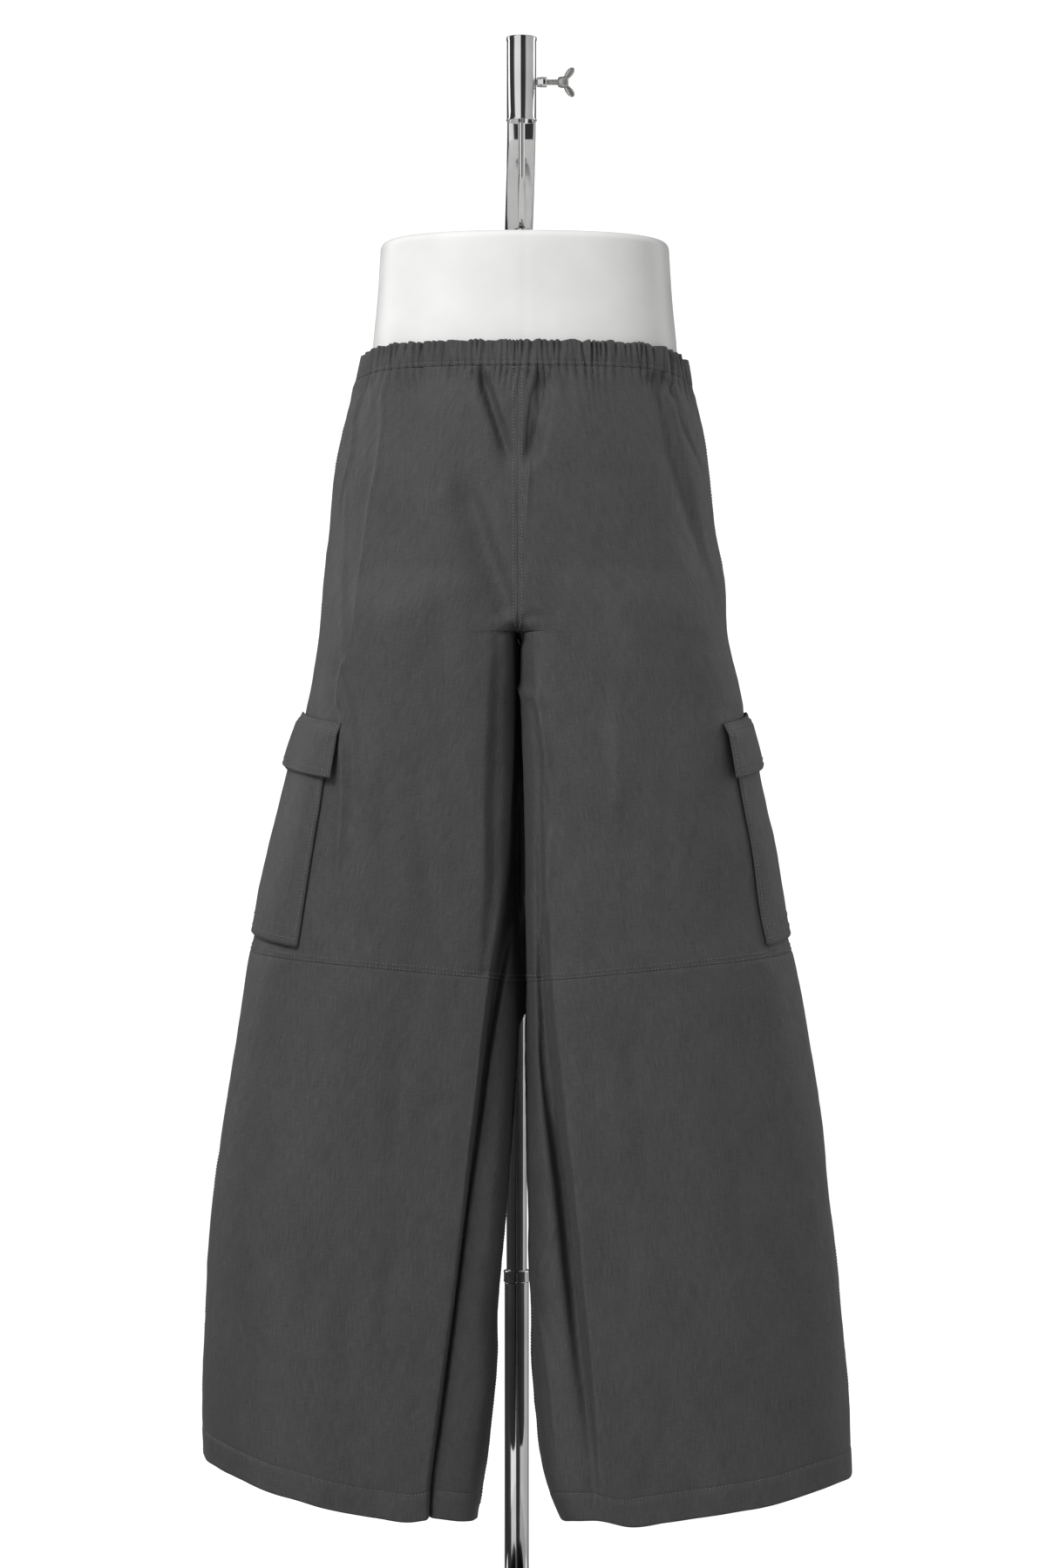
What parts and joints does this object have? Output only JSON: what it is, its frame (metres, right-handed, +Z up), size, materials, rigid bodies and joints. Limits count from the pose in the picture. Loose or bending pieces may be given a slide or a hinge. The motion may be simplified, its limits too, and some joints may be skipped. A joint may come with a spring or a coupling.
{
  "type": "rain pants on a limbless hip form with stand",
  "caption": "Extra-wide-leg crinkled nylon rain pants with an elastic waistband, knee seams and flapped cargo pockets, worn open by a smooth limbless hip form that hangs on a chrome pole stand.",
  "frame": {"origin": "on the floor, at the middle of the base plate's underside, under the form", "axes": "+Z up, -Y the shown front of the trousers, +X to the right of the picture"},
  "size_m": [0.5806, 0.36, 1.428],
  "materials": {
    "cloth": "matt dark grey crinkled nylon",
    "form": "satin white",
    "chrome": "polished",
    "zinc": "dull zinc"
  },
  "bodies": {
    "stand": {"base_plate": "chrome", "base_socket": "chrome", "lower_tube": "chrome"},
    "collar": {"collar": "chrome"},
    "form": {"upper_tube": "chrome", "neck": "chrome", "top_sleeve": "chrome", "screw_boss": "chrome", "hanger_rod": "chrome", "rod_foot": "chrome", "hip_form": "form", "waistband": "cloth", "front_upper_left": "cloth", "front_lower_left": "cloth", "back_upper_left": "cloth", "back_lower_left": "cloth", "pocket_bag_left": "cloth", "pocket_flap_left": "cloth", "front_upper_right": "cloth", "front_lower_right": "cloth", "back_upper_right": "cloth", "back_lower_right": "cloth", "pocket_bag_right": "cloth", "pocket_flap_right": "cloth"},
    "wing_screw": {"wing_screw": "zinc"}
  },
  "joints": [
    {"name": "pole_turn", "type": "hinge", "parent": "stand", "child": "collar", "pos_m": [-0.0012, 0.15, 0.2995], "axis": [0, 0, 1], "continuous": true},
    {"name": "pole_height", "type": "slide", "parent": "collar", "child": "form", "axis": [0, 0, 1], "range_m": [-0.08, 0.12]},
    {"name": "wing_screw_turn", "type": "hinge", "parent": "form", "child": "wing_screw", "pos_m": [0.0034, 0, 1.388], "axis": [1, 0, 0], "continuous": true}
  ]
}
